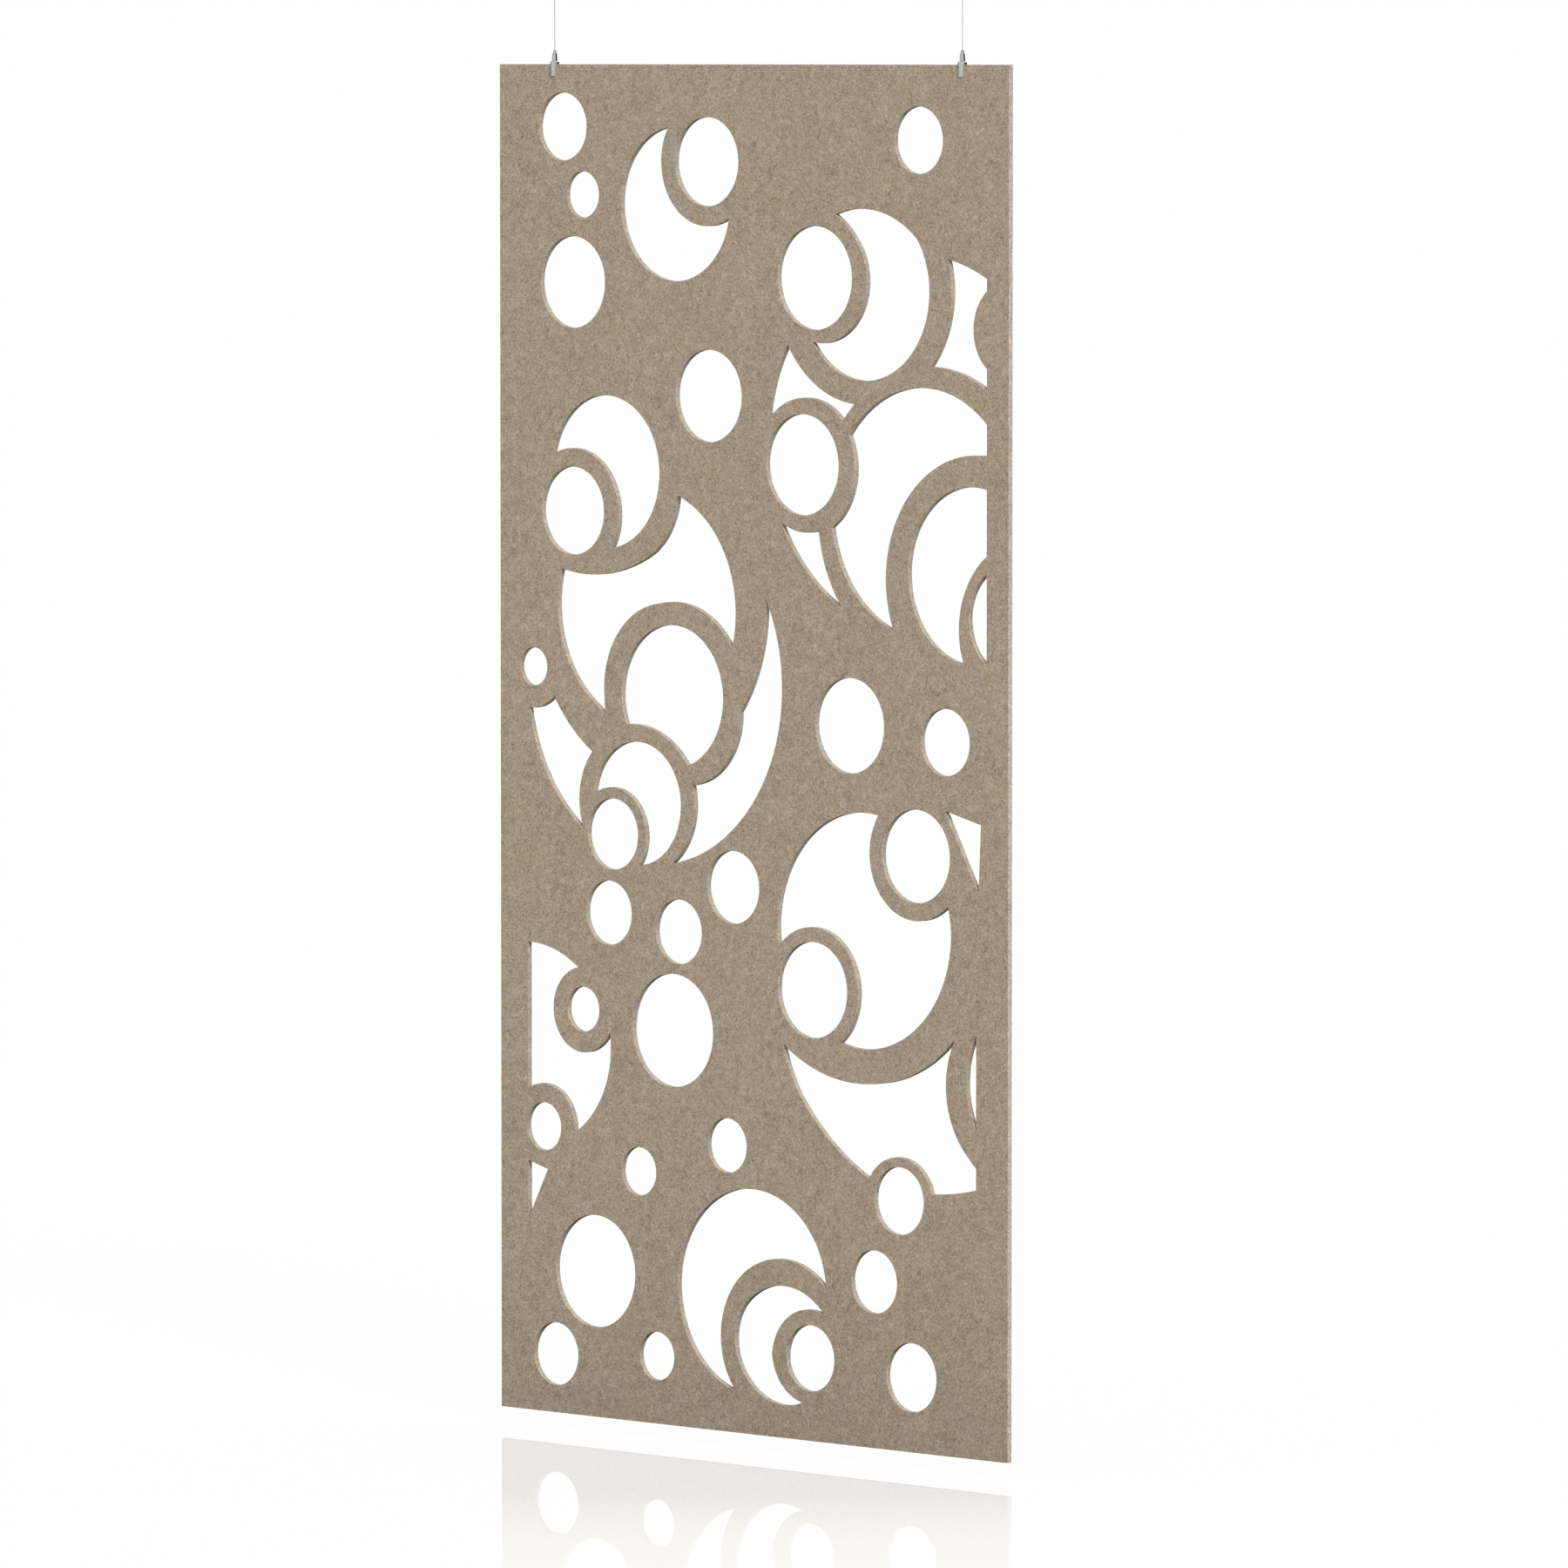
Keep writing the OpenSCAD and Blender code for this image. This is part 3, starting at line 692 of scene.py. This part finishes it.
place = given.outputs["Vector"]
wander = add("ShaderNodeTexNoise", {"Vector": place, "Scale": 90.0, "Detail": 1.0})
bent = vector_maths(add, "MULTIPLY_ADD", wander.outputs["Color"], fibre_bend, place)
layers = []
for way in fibre_ways:
    turned_way = add("ShaderNodeVectorRotate", {"Vector": bent, "Rotation": (0.1 * way, way, 0.15)},
                     rotation_type="EULER_XYZ")
    drawn_out = vector_maths(add, "MULTIPLY", turned_way.outputs["Vector"], fibre_draw)
    layers.append((noise(drawn_out, given.outputs["Fibre Scale"], 2.0), 1.0))
fibres = weighed(*layers)
grain = noise(bent, 300.0, 1.5)
clumps = noise(place, 80.0, 1.0)
patches = noise(place, 16.0, 1.0)
drift = noise(place, 3.0, 1.0)
warmth = noise(place, 24.0, 3.0)
shade = weighed((fibres, 0.86), (grain, 1.27), (clumps, 0.48), (patches, 0.16), (drift, 0.06))
heathered = mixed(add, maths(add, "ADD", shade, 0.5), given.outputs["Dark"], given.outputs["Light"])
tinted = mixed(add, weighed((warmth, 2.45)), heathered, given.outputs["Tint"], "MULTIPLY")
matted_fibres.links.new(tinted, made.inputs["Colour"])
matted_fibres.links.new(weighed((fibres, 1.0), (grain, 0.6)), made.inputs["Height"])
warm_tint = (1.06, 0.985, 0.85, 1)


def felt_finish(name, light, dark, fibre_scale, height):
    """A felt whose heathered colour and fine relief come from the matted_fibres group. Its height
    is that of the relief, in metres."""
    material, tree, shader, add = new_material(name, Roughness=0.95, Specular_IOR_Level=0.1)
    where = add("ShaderNodeTexCoord").outputs["Object"]
    look = add("ShaderNodeGroup", {
        "Vector": where, "Fibre Scale": fibre_scale, "Light": (*light, 1), "Dark": (*dark, 1),
        "Tint": warm_tint}, node_tree=matted_fibres)
    relief = add("ShaderNodeBump", {
        "Height": look.outputs["Height"], "Strength": 0.4, "Distance": height})
    tree.links.new(look.outputs["Colour"], shader.inputs["Base Color"])
    tree.links.new(relief.outputs["Normal"], shader.inputs["Normal"])
    return material


pressed_felt = felt_finish("pressed_felt", light=(0.496, 0.418, 0.329), dark=(0.175, 0.1315, 0.086),
                           fibre_scale=1100, height=0.0006)
cut_felt = felt_finish("cut_felt", light=(0.482, 0.418, 0.346), dark=(0.170, 0.131, 0.092),
                       fibre_scale=1600, height=0.0004)
points, walls, faces = board_mesh()
board = new_piece("felt_board", points, walls + faces, pressed_felt, "board", sharp=30)
board.data.materials.append(cut_felt)
board.data.polygons.foreach_set("use_smooth", np.repeat([True, False], [len(walls), len(faces)]))
board.data.polygons.foreach_set("material_index", np.repeat([1, 0], [len(walls), len(faces)]))
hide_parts("panel")

# ------------------------------------------------------------------------------------- the floor
# A polished white floor, just under the board, shows a faint mirror image of it that fades away
# from the camera. The camera and mirrors see it white, with a trace of shadow, and the board gets
# a little light back from it, but none from close by, where the floor's colour for bounced light
# is painted dark: painted shade for the board's shadow on the floor.
floor_z, floor_half, front_right = -2.579, 60000, (0.702, -0.712, 0)
near_mirror, far_mirror = (0.235, 0.258, 0.275, 1), (0.050, 0.075, 0.120, 1)
fade_start, fade_end, fade_power, photo_fresnel = 0.62, 1.57, 1.5, 0.52
dome_light, lamp_light, lamp_on_floor, shadow_part = 1.15, 0.80, 0.54, 0.04
floor_bounce, bounce_reach, half_board = 0.24, 0.8, (0.5, 0, 0)
# front_right points along the floor to the camera, photo_fresnel is the Fresnel factor at the
# photograph's angle, and lamp_on_floor is the share of the lamp's light that a level surface gets.


def looked_at(add):
    """One where the camera looks, straight or through a mirror or glass, and nought for light that
    falls on a dull surface."""
    ray = add("ShaderNodeLightPath").outputs
    seen = maths(add, "MAXIMUM", ray["Is Camera Ray"], ray["Is Glossy Ray"])
    return maths(add, "MAXIMUM", seen, ray["Is Transmission Ray"])


white_floor = bpy.data.materials.new("white_floor")
white_floor.use_nodes = True
white_floor.node_tree.nodes.clear()
add = adder(white_floor.node_tree)
place = add("ShaderNodeTexCoord").outputs["Object"]
towards_front = vector_maths(add, "DOT_PRODUCT", place, front_right, output="Value")
faded = add("ShaderNodeMapRange", {"Value": towards_front, "From Min": fade_start, "From Max": fade_end,
                                   "To Min": 1.0, "To Max": 0.0}).outputs["Result"]
tint = mixed(add, maths(add, "POWER", faded, fade_power), far_mirror, near_mirror)
fresnel = add("ShaderNodeFresnel", {"IOR": 1.5}).outputs[0]
shine = mixed(add, maths(add, "DIVIDE", fresnel, photo_fresnel), (0, 0, 0, 1), tint)
full = (1 - shadow_part, 1 - shadow_part, 1 - shadow_part, 1)
mirror = add("ShaderNodeBsdfGlossy", {"Color": shine, "Roughness": 0.0})
white = add("ShaderNodeEmission", {"Color": mixed(add, 1.0, full, shine, "SUBTRACT"), "Strength": 1.0})
pale = shadow_part / (dome_light + lamp_on_floor * lamp_light)
shadow = add("ShaderNodeBsdfDiffuse", {"Color": (pale, pale, pale, 1)})
glow = add("ShaderNodeAddShader", {0: mirror.outputs[0], 1: white.outputs[0]})
seen = add("ShaderNodeAddShader", {0: glow.outputs[0], 1: shadow.outputs[0]})
# Painted shade: the floor's colour for bounced light is black by the board and rises to floor_bounce
# within bounce_reach of it, standing in for the board's shadow on the floor.
beyond = vector_maths(add, "SUBTRACT", vector_maths(add, "ABSOLUTE", place), half_board)
beyond = vector_maths(add, "MAXIMUM", beyond, (0, 0, 0))
from_board = vector_maths(add, "LENGTH", beyond, output="Value")
bounce = add("ShaderNodeMapRange", {
    "Value": from_board, "From Min": 0.0, "From Max": bounce_reach, "To Min": 0.0,
    "To Max": floor_bounce}, interpolation_type="SMOOTHSTEP")
matt = add("ShaderNodeBsdfDiffuse", {"Color": bounce.outputs["Result"]})
shown = add("ShaderNodeMixShader", {0: looked_at(add), 1: matt.outputs[0], 2: seen.outputs[0]})
add("ShaderNodeOutputMaterial", {"Surface": shown.outputs[0]})
white_floor.cycles.emission_sampling = "NONE"

corners = [(x * floor_half, y * floor_half, 0) for x, y in ((-1, -1), (1, -1), (1, 1), (-1, 1))]
floor = placed("floor", new_mesh("floor", corners, [(0, 1, 2, 3)]))
floor.data.materials.append(white_floor)
floor.location.z = floor_z

# ------------------------------------------------------------------------- the room and the light
# The room is a white dome. What the chrome shows of it has two dark flats, and a bright panel high
# up behind the board, each given by its two bearings and the rises that it lies between. A soft
# lamp stands to the right and in front, and a tall strip light lights the board's end.
flat_level, panel_level = 0.03, 1.9
reflected = [((0, 100, -1, 0.42), flat_level), ((140, 200, -1, 0.42), flat_level),
             ((60, 120, 0.42, 0.95), panel_level)]

room = bpy.data.worlds.new("room")
room.use_nodes = True
room.node_tree.nodes.clear()
add = adder(room.node_tree)
ray_way = add("ShaderNodeTexCoord").outputs["Generated"]


def beyond_plane(direction, limit=0):
    """One where the ray's way times a direction is above a limit, and nought elsewhere."""
    along = vector_maths(add, "DOT_PRODUCT", ray_way, direction, output="Value")
    return maths(add, "GREATER_THAN", along, limit)


def patch(start, end, low, high):
    """One where a ray's bearing b has sin(b - start) > 0 and sin(end - b) > 0, and its rise lies
    between two limits, and nought elsewhere."""
    start, end = math.radians(start), math.radians(end)
    inside = beyond_plane((-math.sin(start), math.cos(start), 0))
    for mask in (beyond_plane((math.sin(end), -math.cos(end), 0)), beyond_plane((0, 0, 1), low),
                 beyond_plane((0, 0, -1), -high)):
        inside = maths(add, "MULTIPLY", inside, mask)
    return inside


change = 0.0
for bounds, level in reflected:
    change = maths(add, "MULTIPLY_ADD", patch(*bounds), level - 1, change)
ray = add("ShaderNodeLightPath").outputs
not_in_floor = maths(add, "SUBTRACT", 1.0, ray["Is Singular Ray"])
in_chrome = maths(add, "MULTIPLY", ray["Is Glossy Ray"], not_in_floor)
brightness = maths(add, "MULTIPLY_ADD", change, in_chrome, 1.0)
dome = add("ShaderNodeBackground", {"Color": (1, 1, 1, 1), "Strength": dome_light})
backdrop = add("ShaderNodeBackground", {"Color": (1, 1, 1, 1), "Strength": brightness})
shown = add("ShaderNodeMixShader", {0: looked_at(add), 1: dome.outputs[0], 2: backdrop.outputs[0]})
add("ShaderNodeOutputWorld", {"Surface": shown.outputs[0]})
bpy.context.scene.world = room


def new_light(name, kind, energy, angles, place=(0, 0, 0), **settings):
    """A light that the camera and mirrors don't see, turned by angles in degrees."""
    light = placed(name, bpy.data.lights.new(name, kind))
    for key, value in settings.items():
        setattr(light.data, key, value)
    light.data.energy = energy
    light.location, light.rotation_euler = place, [math.radians(angle) for angle in angles]
    light.visible_camera = light.visible_glossy = False


new_light("soft_lamp", "SUN", energy=math.pi * lamp_light, angles=(57.4, 0, 66), angle=math.radians(12))
new_light("strip_light", "AREA", energy=88, angles=(90, 0, 90), place=(5, 0, -2.4), shape="RECTANGLE",
          size=0.25, size_y=1.6)

bpy.context.scene.view_settings.view_transform = "Standard"
